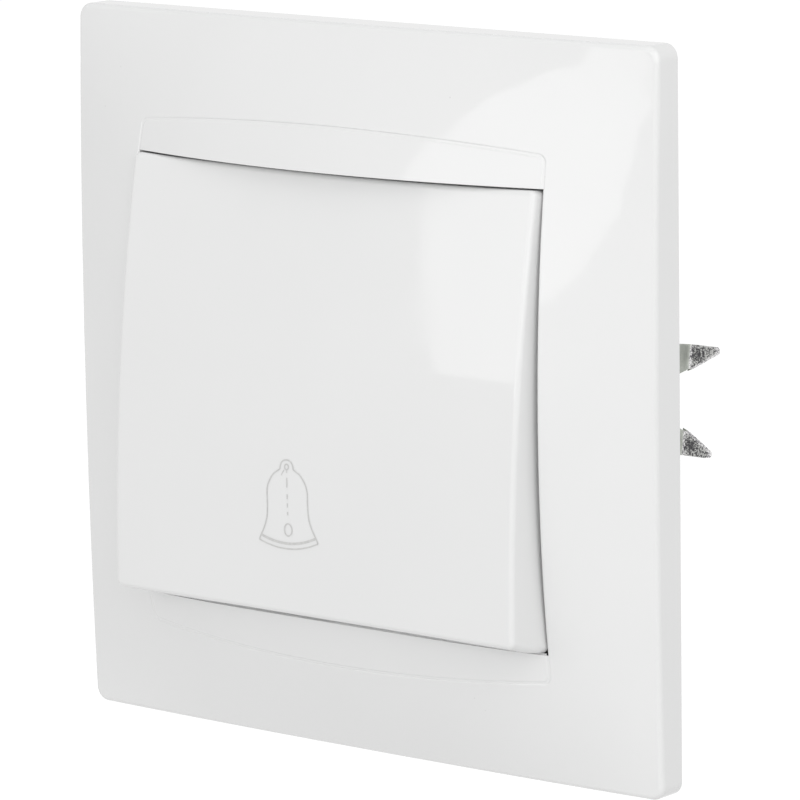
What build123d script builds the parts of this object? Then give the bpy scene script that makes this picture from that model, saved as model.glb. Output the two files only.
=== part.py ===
from build123d import *
import math
import os

os.makedirs("parts", exist_ok=True)

# A flush doorbell push button. The origin is the middle of the wall plane, +Z is up and the front
# faces -Y. Plane.XZ faces the front too, so its offsets are distances in front of the wall, and
# what lies in the wall box has negative ones.

# Cover frame and its pillow
cover_size = 81.0
cover_corner_radius = 1.6
cover_edge_height = 3.5
cover_edge_arch = 0.6
pillow_rise = 10.7
pillow_margin = 6.0
cover_edge_fillet = 0.6
cover_wall = 2.0
cover_skin = 2.0
cover_inner_radius = 1.2
rib_thickness = 1.0
rib_offset = 20.0

# Window in the cover
window_half_width = 28.75
window_side_bow = 0.65
window_half_height = 29.8
window_end_bow = 1.35
window_corner_radius = 0.9
window_rim_wall = 1.4
window_edge_fillet = 0.25

# Hooks that clip the cover over the bezel's plate
hook_offset = 13.0
hook_width = 6.0
hook_thickness = 1.2
hook_nose = 0.8
hook_nose_height = 0.6
hook_clearance = 0.15

# Support bridge
bridge_thickness = 1.0
bridge_side_room = 4.0
bridge_end_room = 3.0
bridge_corner_radius = 6.0
bridge_lip_height = 2.0
bridge_lip_half_length = 20.0
bridge_bend_radius = 1.0
bridge_window_length = 9.0
bridge_window_width = 3.0
bridge_window_offset = 26.0
box_screw_spacing = 60.0
box_screw_slot_length = 6.4
box_screw_slot_width = 3.6
box_screw_head_room = 9.0

# Bezel
bezel_gap_to_bridge = 1.0
bezel_plate_thickness = 1.2
bezel_half_width = 31.0
bezel_half_height = 32.0
bezel_corner_radius = 2.0
bezel_opening_clearance = 0.7
bezel_seam = 0.02
bezel_edge_fillet = 0.3
strip_edge = 25.1
lower_strip_edge = 23.8
strip_wall = 1.2
strip_skin = 1.5
bezel_leg_offset_x = 13.0
bezel_leg_offset_z = 24.0
bezel_leg_width = 4.0
bezel_leg_thickness = 1.6
bezel_leg_depth = 3.0
bezel_barb = 0.8
bezel_leg_clearance = 0.4
bezel_foot_offset_x = 22.0
bezel_foot_width = 6.0
bezel_foot_height = 4.0

# Rocker, drawn square to its own face and tilted about its pivot at rest
pivot_front = 4.0
rocker_rest_tilt = 5.6
rocker_travel = 8.0
rocker_half_width = 28.1
rocker_bottom_length = 24.35
rocker_top_length = 24.45
rocker_edge_rise = 7.05
rocker_crown = 1.25
rocker_wall = 1.8
rocker_skirt_clearance = 0.45
rocker_corner_radius = 0.8
rocker_edge_fillet = 0.6
rocker_end_gap = 0.2
rocker_rib_offset = 20.0
rocker_rib_thickness = 1.0
rocker_rib_bottom = 4.0
rocker_leg_inset = 4.0
rocker_leg_offset_v = 6.0
rocker_leg_width = 2.0
rocker_leg_length = 5.0
rocker_leg_tip = -0.4
rocker_leg_clearance = 0.15

# Cradle that the rocker clips onto
cradle_half_length = 13.0
cradle_bottom = -0.6
cradle_thickness = 2.2
cradle_corner_radius = 1.5
hub_radius = 1.8
trunnion_radius = 1.5
trunnion_clearance = 0.05
trunnion_end_clearance = 0.4
nose_position = -7.0
nose_half_width = 2.2
nose_radius = 1.2
nose_blade_clearance = 0.15
spigot_radius = 1.7
spigot_length = 1.5

# Mechanism lid
lid_step = 1.0
lid_thickness = 2.0
lid_corner_radius = 1.5
lid_clearance = 0.3
cheek_inset = 0.7
cheek_gap = 0.3
cheek_thickness = 3.0
cheek_radius = 3.2
nose_slot_width = 5.2
nose_slot_height = 5.4
lid_screw_inset_x = 3.3
lid_screw_inset_z = 3.4
lid_screw_radius = 1.1
lid_screw_length = 8.0
lid_screw_head_radius = 1.9
lid_screw_head_height = 1.3
lid_screw_clearance = 0.1

# Return springs
spring_inset = 4.5
spring_offset_z = -11.0
spring_radius = 2.4
spring_wire_radius = 0.25
spring_wire_sides = 6
spring_turns = 6.0
spring_end_gap = 0.1
spring_cup_bore = 3.1
spring_cup_wall = 0.8
spring_cup_depth = 4.0
spring_cup_floor = 1.0

# Mechanism housing in the wall box
housing_half_width = 18.5
housing_half_height = 20.0
housing_depth = 21.0
housing_wall = 1.8
housing_corner_radius = 2.5
housing_floor_depth = 13.4
housing_floor = 1.6
boss_radius = 2.8
ear_half_width = 6.0
ear_edge = 2.7
ear_depth = 3.0
terminal_bay_half_width = 6.3
terminal_bay_start = 5.0
side_pocket_start = 8.1
side_pocket_end_wall = 3.5

# Rivets through bridge and ears
bridge_rivet_radius = 1.5
bridge_rivet_head_radius = 2.5
bridge_rivet_head = 0.8
bridge_rivet_gap = 0.4
rivet_clearance = 0.05

# Contacts
blade_depth = 4.6
blade_thickness = 0.4
blade_half_width = 3.0
blade_tip_half_width = 2.5
blade_top = 14.5
blade_bottom = -14.2
blade_root = 12.0
blade_root_hole = 1.0
blade_slack = 0.3
contact_position = -12.0
contact_closed_gap = 0.15
blade_swing_share = 0.4
contact_head_radius = 1.6
contact_head = 0.8
contact_shank_radius = 0.75
contact_tail_radius = 1.2
contact_tail = 0.5
contact_hole_clearance = 0.05
strip_thickness = 0.8
strip_half_width = 3.0
strip_wall_gap = 0.9
strip_bend_radius = 1.0
strip_clearance = 0.25
contact_pad_end = 8.5
terminal_pad_end = 6.5

# Terminals
terminal_position = 10.5
terminal_screw_radius = 1.45
terminal_screw_length = 7.0
terminal_screw_head_radius = 2.9
terminal_screw_head = 2.2
terminal_screw_clearance = 0.05
clamp_size = 7.0
clamp_thickness = 1.0
clamp_wire_gap = 0.8
clamp_corner = 0.8
screw_slot_width = 0.9
screw_slot_depth = 1.0
screw_head_fillet = 0.6

# Claws and their screws, which hang down a little in their holes. Depths of the claws are counted
# along the screw from the middle of its hole in the bridge.
claw_droop = 8.3
claw_housing_gap = 0.7
claw_screw_offset_z = 1.0
claw_screw_radius = 1.5
claw_screw_head_radius = 2.8
claw_screw_head = 1.8
claw_screw_head_gap = 1.2
claw_screw_hole_clearance = 0.6
claw_screw_depth = 23.5
claw_head_room = 4.0
claw_thickness = 0.8
claw_arm_offset = 3.3
claw_half_width = 6.15
claw_front = 2.7
claw_depth = 23.0
claw_tooth_reach = 8.4
claw_tip_radius = 0.45
claw_bend_radius = 1.0
claw_foot_half_width = 2.3
claw_foot_reach = 2.6
claw_foot_depth = 19.0
claw_slit = 0.6
claw_slit_start = 15.5
claw_slit_flare = 2.0
claw_thread_clearance = 0.05

# Sizes that follow from those above
cover_half = cover_size / 2
block_height = cover_edge_height + 2 * cover_edge_arch + pillow_rise + pillow_margin
plate_front = bridge_thickness + bezel_gap_to_bridge
plate_top = plate_front + bezel_plate_thickness
rim_front = plate_top + hook_clearance
bridge_half_width = cover_half - cover_wall - bridge_side_room
bridge_half_height = cover_half - cover_wall - bridge_end_room
inner_half_width = housing_half_width - housing_wall
inner_half_height = housing_half_height - housing_wall
lid_half_width = housing_half_width - lid_step
lid_half_height = housing_half_height - lid_step
lid_screw_offset_x = lid_half_width - lid_screw_inset_x
lid_screw_offset_z = lid_half_height - lid_screw_inset_z
cheek_outer = lid_half_width - cheek_inset
cheek_inner = cheek_outer - cheek_thickness
cradle_half_width = cheek_inner - cheek_gap
rocker_leg_offset_x = cradle_half_width - rocker_leg_inset
spring_offset_x = cradle_half_width - spring_inset
bridge_rivet_offset = housing_half_height + bridge_rivet_gap + bridge_rivet_head_radius
strip_riser = inner_half_height - strip_wall_gap - strip_thickness / 2
claw_screw_offset_x = housing_half_width + claw_housing_gap + claw_foot_reach
bay_floor = housing_floor_depth + housing_floor
blade_back = blade_depth + blade_thickness
common_pad_depth = blade_back + blade_slack
# The blade swings by a share of the rocker's travel, and the contacts just meet at its end
contact_gap = contact_closed_gap + (blade_root - contact_position) * math.sin(
    math.radians(rocker_travel * blade_swing_share)
)
fixed_pad_depth = blade_back + 2 * contact_head + contact_gap
clamp_depth = bay_floor + strip_thickness + clamp_wire_gap
screw_seat = clamp_depth + clamp_thickness
claw_head_seat = bridge_thickness / 2 + claw_screw_head_gap
spring_axis_points = [(-spring_offset_x, spring_offset_z), (spring_offset_x, spring_offset_z)]
lid_screw_points = [
    (x * lid_screw_offset_x, z * lid_screw_offset_z) for x in (-1, 1) for z in (-1, 1)
]
rivet_points = [(0, -bridge_rivet_offset), (0, bridge_rivet_offset)]
terminal_points = [(0, -terminal_position), (0, terminal_position)]

tilt = math.radians(rocker_rest_tilt)
pivot = (0, -pivot_front, 0)
# Seen square on: x across, y up the rocker's face, z out of it
rocker_front = Plane(origin=pivot, x_dir=(1, 0, 0), z_dir=(0, -math.cos(tilt), math.sin(tilt)))
# Seen from the side: x up the rocker's face, y out of it
rocker_side = Plane(origin=pivot, x_dir=(0, math.sin(tilt), math.cos(tilt)), z_dir=(1, 0, 0))
# The rocker's bottom end is round about the pivot, so its gap to the lower strip stays as it moves
rocker_end_radius = math.hypot(rocker_bottom_length, rocker_edge_rise)
rocker_face_radius = (rocker_bottom_length**2 + rocker_crown**2) / (2 * rocker_crown)
# The skirt's ends clear the bezel's plate: the top one at rest, the bottom one when pressed
skirt_base = plate_top + rocker_skirt_clearance - pivot_front
skirt_top = skirt_base + rocker_top_length * math.sin(tilt)
pressed_tilt = math.radians(rocker_travel) - tilt
skirt_bottom = skirt_base + rocker_end_radius * math.sin(pressed_tilt)
# The nose is as long as its tip needs to reach the contact blade at rest
nose_reach = (
    blade_depth - nose_blade_clearance + pivot_front - nose_position * math.sin(tilt)
) / math.cos(tilt)


def pillow_height(x_squared, z_squared):
    """Distance of the pillow from the wall, which depends on the squares of x and z alone."""
    across = 1 - x_squared / cover_half**2
    along = 1 - z_squared / cover_half**2
    return cover_edge_height + cover_edge_arch * (across + along) + pillow_rise * across * along


def pillow_face(below):
    """The cover's pillow as one patch of second degree, set back from its front by below."""
    reach = cover_half + pillow_margin
    # On a parabola over (-reach, reach) the middle control point takes the square with a minus
    controls = ((-reach, reach**2), (0, -(reach**2)), (reach, reach**2))
    return Face.make_bezier_surface(
        [
            [(x, below - pillow_height(x_squared, z_squared), z) for z, z_squared in controls]
            for x, x_squared in controls
        ]
    )


def window_outline(grow, mode=Mode.ADD):
    """Draws the barrel-shaped window in the open sketch, larger all round by grow."""
    side = window_half_width + grow
    end = window_half_height + grow
    corner_x = side - window_side_bow
    corner_z = end - window_end_bow
    with BuildLine() as outline:
        ThreePointArc((corner_x, -corner_z), (side, 0), (corner_x, corner_z))
        ThreePointArc((corner_x, corner_z), (0, end), (-corner_x, corner_z))
        ThreePointArc((-corner_x, corner_z), (-side, 0), (-corner_x, -corner_z))
        ThreePointArc((-corner_x, -corner_z), (0, -end), (corner_x, -corner_z))
        fillet(outline.vertices(), window_corner_radius)
    make_face(outline.edges(), mode=mode)


def lens_outlines(inset):
    """Draws the two lens-shaped strips above and below the rocker, smaller all round by inset."""
    window_outline(-bezel_seam - inset)
    with Locations((0, (strip_edge - lower_strip_edge) / 2)):
        Rectangle(cover_size, strip_edge + lower_strip_edge + 2 * inset, mode=Mode.SUBTRACT)


def rocker_end_room(grow):
    """Draws the room that the rocker's bottom end sweeps, seen from the side, larger by grow."""
    radius = rocker_end_radius + rocker_end_gap + grow
    with Locations((-pivot_front, 0)):
        Circle(radius)
        Rectangle(2 * radius, radius, align=(Align.CENTER, Align.MIN), mode=Mode.SUBTRACT)


def rocker_profile(inset, bottom_ends):
    """Draws the rocker's side view, with its crowned face and walls moved inwards by inset."""
    low, high = bottom_ends
    edge = rocker_edge_rise - inset
    crown = edge + rocker_crown
    top = rocker_top_length - inset
    top_edge = crown - rocker_face_radius + math.sqrt(rocker_face_radius**2 - top**2)
    radius = rocker_end_radius - inset
    end_heights = (low, (low + edge) / 2, edge)
    end = [(-math.sqrt(radius**2 - height**2), height) for height in end_heights]
    with BuildLine() as outline:
        ThreePointArc(*end)
        ThreePointArc(end[-1], (0, crown), (top, top_edge))
        Line((top, top_edge), (top, high))
        Line((top, high), end[0])
    make_face(outline.edges())


def claw_planes(side):
    """Planes at a claw's hole: facing the front along the screw, and up across the claw's width."""
    droop = math.radians(claw_droop)
    hole = (side * claw_screw_offset_x, -bridge_thickness / 2, claw_screw_offset_z)
    forwards = (0, -math.cos(droop), math.sin(droop))
    upwards = (0, math.sin(droop), math.cos(droop))
    return [Plane(origin=hole, x_dir=(1, 0, 0), z_dir=z_dir) for z_dir in (forwards, upwards)]


def finish(builder, name):
    """Labels a finished piece and writes it."""
    builder.part.label = name
    export_step(builder.part, f"parts/{name}.step")


# Cover frame
with BuildPart() as cover_cavity:
    inner_size = cover_size - 2 * cover_wall
    rib_length = cover_half - window_half_width
    rib_middle = (cover_half + window_half_width) / 2
    with BuildSketch(Plane.XZ):
        RectangleRounded(inner_size, inner_size, cover_inner_radius)
    extrude(amount=rim_front)
    with BuildSketch(Plane.XZ.offset(rim_front)):
        RectangleRounded(inner_size, inner_size, cover_inner_radius)
        window_outline(window_rim_wall, mode=Mode.SUBTRACT)
        with GridLocations(2 * rib_middle, 2 * rib_offset, 2, 2):
            Rectangle(rib_length, rib_thickness, mode=Mode.SUBTRACT)
        with GridLocations(2 * rib_offset, 2 * rib_middle, 2, 2):
            Rectangle(rib_thickness, rib_length, mode=Mode.SUBTRACT)
    extrude(amount=block_height - rim_front)
    split(bisect_by=pillow_face(cover_skin), keep=Keep.BOTTOM)

with BuildPart() as cover_frame:
    with BuildSketch(Plane.XZ):
        RectangleRounded(cover_size, cover_size, cover_corner_radius)
    extrude(amount=block_height)
    split(bisect_by=pillow_face(0), keep=Keep.BOTTOM)
    fillet(cover_frame.faces().sort_by(Axis.Y)[0].edges(), cover_edge_fillet)
    with BuildSketch(Plane.XZ):
        window_outline(0)
    extrude(amount=block_height, mode=Mode.SUBTRACT)
    front_face = cover_frame.faces().filter_by(GeomType.BEZIER)[0]
    fillet(front_face.inner_wires()[0].edges(), window_edge_fillet)
    add(cover_cavity.part, mode=Mode.SUBTRACT)
    # Clip hooks: a stem from the skin and a nose under the bezel's plate
    hook_inner = bezel_half_width + hook_clearance
    hook_low = plate_front - hook_clearance - hook_nose_height
    hook_high = pillow_height((hook_inner + hook_thickness) ** 2, hook_offset**2) - cover_skin / 2
    for z in (-hook_offset, hook_offset):
        with BuildSketch(Plane.XY.offset(z)):
            for side in (-1, 1):
                with BuildLine() as hook:
                    Polyline(
                        (side * (hook_inner - hook_nose), -hook_low),
                        (side * (hook_inner + hook_thickness), -hook_low),
                        (side * (hook_inner + hook_thickness), -hook_high),
                        (side * hook_inner, -hook_high),
                        (side * hook_inner, -(hook_low + hook_nose_height)),
                        (side * (hook_inner - hook_nose), -(hook_low + hook_nose_height)),
                        close=True,
                    )
                make_face(hook.edges())
        extrude(amount=hook_width / 2, both=True)
finish(cover_frame, "cover_frame")

# Bezel with its two lens strips
with BuildPart() as strip_cores:
    with BuildSketch(Plane.XZ.offset(plate_front)):
        lens_outlines(strip_wall)
    extrude(amount=block_height)
    split(bisect_by=pillow_face(strip_skin), keep=Keep.BOTTOM)
    with BuildSketch(Plane.YZ):
        rocker_end_room(strip_wall)
    extrude(amount=cover_half, both=True, mode=Mode.SUBTRACT)

with BuildPart() as bezel:
    with BuildSketch(Plane.XZ.offset(plate_front)):
        lens_outlines(0)
    extrude(amount=block_height)
    split(bisect_by=pillow_face(0), keep=Keep.BOTTOM)
    with BuildSketch(Plane.YZ):
        rocker_end_room(0)
    extrude(amount=cover_half, both=True, mode=Mode.SUBTRACT)
    # The strips are rounded along the cover's window and sharp beside the rocker
    lower_front, upper_front = bezel.faces().sort_by(Axis.Y)[:2].sort_by(Axis.Z)
    upper_seam = upper_front.edges().sort_by(Axis.Z)[1:]
    lower_seam = lower_front.edges().sort_by(Axis.Z)[:-1]
    fillet(upper_seam + lower_seam, bezel_edge_fillet)
    with BuildSketch(Plane.XZ.offset(plate_front)):
        RectangleRounded(2 * bezel_half_width, 2 * bezel_half_height, bezel_corner_radius)
        Rectangle(
            2 * (lid_half_width + bezel_opening_clearance),
            2 * (lid_half_height + bezel_opening_clearance),
            mode=Mode.SUBTRACT,
        )
        with Locations((0, claw_screw_offset_z)):
            Rectangle(
                2 * (claw_screw_offset_x + claw_head_room),
                2 * claw_head_room,
                mode=Mode.SUBTRACT,
            )
    extrude(amount=bezel_plate_thickness)
    add(strip_cores.part, mode=Mode.SUBTRACT)
    # Room for the heads of the wall box's screws
    notch_start = strip_edge + strip_wall
    notch_length = bezel_half_height - notch_start
    with BuildSketch(Plane.XZ.offset(plate_front)):
        with GridLocations(0, 2 * notch_start + notch_length, 1, 2):
            Rectangle(box_screw_head_room, notch_length)
    extrude(amount=bezel_plate_thickness, mode=Mode.SUBTRACT)
    # Feet that stand on the bridge, and legs that snap behind it
    with BuildSketch(Plane.XZ.offset(bridge_thickness)):
        with GridLocations(2 * bezel_foot_offset_x, 2 * bezel_leg_offset_z, 2, 2):
            Rectangle(bezel_foot_width, bezel_foot_height)
    extrude(amount=bezel_gap_to_bridge)
    with BuildSketch(Plane.XZ.offset(-bezel_leg_depth)):
        with GridLocations(2 * bezel_leg_offset_x, 2 * bezel_leg_offset_z, 2, 2):
            Rectangle(bezel_leg_width, bezel_leg_thickness)
    extrude(amount=bezel_leg_depth + plate_front)
    leg_outer = bezel_leg_offset_z + bezel_leg_thickness / 2
    for x in (-bezel_leg_offset_x, bezel_leg_offset_x):
        with BuildSketch(Plane.YZ.offset(x)):
            for side in (-1, 1):
                with BuildLine() as barb:
                    Polyline(
                        (hook_clearance, side * leg_outer),
                        (hook_clearance, side * (leg_outer + bezel_barb)),
                        (bezel_leg_depth, side * leg_outer),
                        close=True,
                    )
                make_face(barb.edges())
        extrude(amount=bezel_leg_width / 2, both=True)
finish(bezel, "bezel")

# Rocker
with BuildPart() as rocker:
    with BuildSketch(rocker_side):
        rocker_profile(0, (skirt_bottom, skirt_top))
    extrude(amount=rocker_half_width, both=True)
    sides = rocker.faces().filter_by(Axis.X)
    face_edges = rocker.faces().sort_by(Axis.Y)[0].edges()
    skirt_edges = rocker.faces().sort_by(Axis.Y)[-1].edges()
    fillet(sides.edges() - face_edges - skirt_edges, rocker_corner_radius)
    fillet(rocker.faces().sort_by(Axis.Y)[0].edges(), rocker_edge_fillet)
    with BuildSketch(rocker_side):
        rocker_profile(rocker_wall, (0, 0))
    extrude(amount=rocker_half_width - rocker_wall, both=True, mode=Mode.SUBTRACT)
    # Stiffening ribs, which follow the crowned face
    for x in (-rocker_rib_offset, rocker_rib_offset):
        with BuildSketch(rocker_side.offset(x)):
            rocker_profile(rocker_wall / 2, (rocker_rib_bottom, rocker_rib_bottom))
        extrude(amount=rocker_rib_thickness / 2, both=True)
    # Legs that clip into the cradle
    leg_height = rocker_edge_rise + rocker_crown - rocker_wall / 2 - rocker_leg_tip
    with BuildSketch(rocker_front.offset(rocker_leg_tip)):
        with GridLocations(2 * rocker_leg_offset_x, 2 * rocker_leg_offset_v, 2, 2):
            Rectangle(rocker_leg_width, rocker_leg_length)
    extrude(amount=leg_height)
finish(rocker, "rocker")

# Cradle
with BuildPart() as rocker_cradle:
    with BuildSketch(rocker_front.offset(cradle_bottom)):
        RectangleRounded(2 * cradle_half_width, 2 * cradle_half_length, cradle_corner_radius)
    extrude(amount=cradle_thickness)
    with BuildSketch(rocker_side):
        Circle(hub_radius)
    extrude(amount=cradle_half_width, both=True)
    with BuildSketch(rocker_front.offset(cradle_bottom)):
        with GridLocations(2 * rocker_leg_offset_x, 2 * rocker_leg_offset_v, 2, 2):
            Rectangle(
                rocker_leg_width + 2 * rocker_leg_clearance,
                rocker_leg_length + 2 * rocker_leg_clearance,
            )
    extrude(amount=cradle_thickness, mode=Mode.SUBTRACT)
    with BuildSketch(rocker_side):
        Circle(trunnion_radius)
    extrude(amount=cheek_outer - trunnion_end_clearance, both=True)
    with BuildSketch(rocker_side):
        with BuildLine() as nose:
            nose_left = nose_position - nose_radius
            nose_right = nose_position + nose_radius
            nose_shoulder = nose_radius - nose_reach
            Line((nose_right, nose_shoulder), (nose_right, 0))
            Line((nose_right, 0), (nose_left, 0))
            Line((nose_left, 0), (nose_left, nose_shoulder))
            ThreePointArc(
                (nose_left, nose_shoulder), (nose_position, -nose_reach), (nose_right, nose_shoulder)
            )
        make_face(nose.edges())
    extrude(amount=nose_half_width, both=True)
    with BuildSketch(rocker_front.offset(cradle_bottom)):
        with Locations(*spring_axis_points):
            Circle(spigot_radius)
    extrude(amount=-spigot_length)
finish(rocker_cradle, "rocker_cradle")

# Support bridge, a stamped plate with its side edges bent forward
with BuildPart() as support_bridge:
    with BuildSketch(Plane.XZ):
        RectangleRounded(2 * bridge_half_width, 2 * bridge_half_height, bridge_corner_radius)
        Rectangle(
            2 * (lid_half_width + lid_clearance),
            2 * (lid_half_height + lid_clearance),
            mode=Mode.SUBTRACT,
        )
        with GridLocations(0, box_screw_spacing, 1, 2):
            SlotOverall(
                box_screw_slot_length, box_screw_slot_width, rotation=90, mode=Mode.SUBTRACT
            )
        with Locations(*rivet_points):
            Circle(bridge_rivet_radius + rivet_clearance, mode=Mode.SUBTRACT)
        with Locations((0, claw_screw_offset_z)):
            with GridLocations(2 * claw_screw_offset_x, 0, 2, 1):
                Circle(claw_screw_radius + claw_screw_hole_clearance, mode=Mode.SUBTRACT)
        leg_slot_height = bezel_leg_thickness + bezel_barb + 2 * bezel_leg_clearance
        leg_slot_middle = bezel_leg_offset_z + bezel_barb / 2
        with GridLocations(2 * bezel_leg_offset_x, 2 * leg_slot_middle, 2, 2):
            Rectangle(
                bezel_leg_width + 2 * bezel_leg_clearance, leg_slot_height, mode=Mode.SUBTRACT
            )
        for x, z, turn in ((1, 1, -45), (-1, 1, 45), (-1, -1, -45), (1, -1, 45)):
            with Locations((x * bridge_window_offset, z * bridge_window_offset)):
                SlotOverall(
                    bridge_window_length, bridge_window_width, rotation=turn, mode=Mode.SUBTRACT
                )
    extrude(amount=bridge_thickness)
    with BuildSketch(Plane.XY):
        for side in (-1, 1):
            with BuildLine() as lip:
                FilletPolyline(
                    (side * (bridge_half_width - bridge_corner_radius), -bridge_thickness / 2),
                    (side * (bridge_half_width + bridge_thickness / 2), -bridge_thickness / 2),
                    (side * (bridge_half_width + bridge_thickness / 2), -bridge_lip_height),
                    radius=bridge_bend_radius,
                )
            trace(lip.edges(), line_width=bridge_thickness)
    extrude(amount=bridge_lip_half_length, both=True)
finish(support_bridge, "support_bridge")

# Mechanism lid with the cheeks that carry the cradle
with BuildPart() as mechanism_lid:
    with BuildSketch(Plane.XZ):
        RectangleRounded(2 * lid_half_width, 2 * lid_half_height, lid_corner_radius)
    extrude(amount=lid_thickness)
    with BuildSketch(Plane.XZ):
        with Locations((0, nose_position)):
            Rectangle(nose_slot_width, nose_slot_height)
    extrude(amount=lid_thickness, mode=Mode.SUBTRACT)
    with BuildSketch(Plane.XZ):
        with Locations(*spring_axis_points):
            Circle(spring_cup_bore + spring_cup_wall)
    extrude(amount=-(spring_cup_depth + spring_cup_floor))
    with BuildSketch(Plane.XZ.offset(-spring_cup_depth)):
        with Locations(*spring_axis_points):
            Circle(spring_cup_bore)
    extrude(amount=spring_cup_depth + lid_thickness, mode=Mode.SUBTRACT)
    for start, thickness in ((cheek_inner, cheek_thickness), (-cheek_inner, -cheek_thickness)):
        with BuildSketch(Plane.YZ.offset(start)):
            with BuildLine() as cheek:
                Line((-lid_thickness, -cheek_radius), (-pivot_front, -cheek_radius))
                ThreePointArc(
                    (-pivot_front, -cheek_radius),
                    (-pivot_front - cheek_radius, 0),
                    (-pivot_front, cheek_radius),
                )
                Line((-pivot_front, cheek_radius), (-lid_thickness, cheek_radius))
                Line((-lid_thickness, cheek_radius), (-lid_thickness, -cheek_radius))
            make_face(cheek.edges())
            with Locations((-pivot_front, 0)):
                Circle(trunnion_radius + trunnion_clearance, mode=Mode.SUBTRACT)
        extrude(amount=thickness)
    with BuildSketch(Plane.XZ):
        with Locations(*lid_screw_points):
            Circle(lid_screw_radius + lid_screw_clearance)
    extrude(amount=lid_thickness, mode=Mode.SUBTRACT)
finish(mechanism_lid, "mechanism_lid")

with BuildPart() as lid_screws:
    with BuildSketch(Plane.XZ.offset(lid_thickness)):
        with Locations(*lid_screw_points):
            Circle(lid_screw_head_radius)
    extrude(amount=lid_screw_head_height)
    fillet(
        lid_screws.edges().filter_by(GeomType.CIRCLE).group_by(Axis.Y)[0], screw_head_fillet
    )
    with BuildSketch(Plane.XZ.offset(lid_thickness)):
        with Locations(*lid_screw_points):
            Circle(lid_screw_radius)
    extrude(amount=-lid_screw_length)
finish(lid_screws, "lid_screws")

# Return springs between the lid's cups and the cradle
spring_front = (
    pivot_front + cradle_bottom * math.cos(tilt) - (spring_offset_z + spring_radius) * math.sin(tilt)
)
spring_back = spring_cup_depth - spring_wire_radius - spring_end_gap
spring_length = spring_front + spring_back - spring_wire_radius - spring_end_gap
for name, side in (("left_return_spring", -1), ("right_return_spring", 1)):
    with BuildPart() as return_spring:
        with BuildLine() as coil:
            Helix(
                pitch=spring_length / spring_turns,
                height=spring_length,
                radius=spring_radius,
                center=(side * spring_offset_x, spring_back, spring_offset_z),
                direction=(0, -1, 0),
            )
        with BuildSketch(Plane(origin=coil.line @ 0, z_dir=coil.line % 0)):
            RegularPolygon(spring_wire_radius, spring_wire_sides)
        sweep(path=coil.line)
    finish(return_spring, name)

# Mechanism housing
with BuildPart() as mechanism_housing:
    with BuildSketch(Plane.XZ):
        RectangleRounded(2 * housing_half_width, 2 * housing_half_height, housing_corner_radius)
    extrude(amount=-housing_depth)
    # Ears that the rivets hold to the bridge
    with BuildSketch(Plane.XZ):
        RectangleRounded(
            2 * ear_half_width, 2 * (bridge_rivet_offset + ear_edge), housing_corner_radius
        )
    extrude(amount=-ear_depth)
    # Contact chamber, with the bosses for the lid's screws left standing
    with BuildSketch(Plane.XZ):
        RectangleRounded(2 * inner_half_width, 2 * inner_half_height, housing_wall)
        with Locations(*lid_screw_points):
            Circle(boss_radius, mode=Mode.SUBTRACT)
    extrude(amount=-housing_floor_depth, mode=Mode.SUBTRACT)
    with BuildSketch(Plane.XZ):
        with Locations(*lid_screw_points):
            Circle(lid_screw_radius + lid_screw_clearance)
    extrude(amount=-lid_screw_length, mode=Mode.SUBTRACT)
    # Terminal bays, open to the back and to the ends, and moulding pockets beside them
    bay_length = housing_half_height - terminal_bay_start
    bay_middle = terminal_bay_start + bay_length / 2
    pocket_width = inner_half_width - side_pocket_start
    pocket_middle = side_pocket_start + pocket_width / 2
    with BuildSketch(Plane.XZ.offset(-bay_floor)):
        with GridLocations(0, 2 * bay_middle, 1, 2):
            Rectangle(2 * terminal_bay_half_width, bay_length)
        with GridLocations(2 * pocket_middle, 0, 2, 1):
            RectangleRounded(
                pocket_width, 2 * (housing_half_height - side_pocket_end_wall), housing_wall
            )
    extrude(amount=-(housing_depth - bay_floor), mode=Mode.SUBTRACT)
    # Passages for the brass strips, with room for their bends, and for the terminal screws
    passage_start = strip_riser - strip_thickness / 2 - strip_bend_radius
    passage_end = strip_riser + strip_thickness / 2 + strip_clearance
    with BuildSketch(Plane.XZ.offset(-housing_floor_depth)):
        with GridLocations(0, passage_start + passage_end, 1, 2):
            Rectangle(2 * (strip_half_width + strip_clearance), passage_end - passage_start)
        with Locations(*terminal_points):
            Circle(terminal_screw_radius + 3 * terminal_screw_clearance)
    extrude(amount=-housing_floor, mode=Mode.SUBTRACT)
    with BuildSketch(Plane.XZ):
        with Locations(*rivet_points):
            Circle(bridge_rivet_radius + rivet_clearance)
    extrude(amount=-ear_depth, mode=Mode.SUBTRACT)
finish(mechanism_housing, "mechanism_housing")

with BuildPart() as bridge_rivets:
    with BuildSketch(Plane.XZ.offset(-ear_depth)):
        with Locations(*rivet_points):
            Circle(bridge_rivet_radius)
    extrude(amount=ear_depth + bridge_thickness)
    with BuildSketch(Plane.XZ.offset(bridge_thickness)):
        with Locations(*rivet_points):
            Circle(bridge_rivet_head_radius)
    extrude(amount=bridge_rivet_head)
    with BuildSketch(Plane.XZ.offset(-ear_depth)):
        with Locations(*rivet_points):
            Circle(bridge_rivet_head_radius)
    extrude(amount=-bridge_rivet_head)
    round_edges = bridge_rivets.edges().filter_by(GeomType.CIRCLE).group_by(Axis.Y)
    fillet(round_edges[0] + round_edges[-1], bridge_rivet_head / 2)
finish(bridge_rivets, "bridge_rivets")

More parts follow.
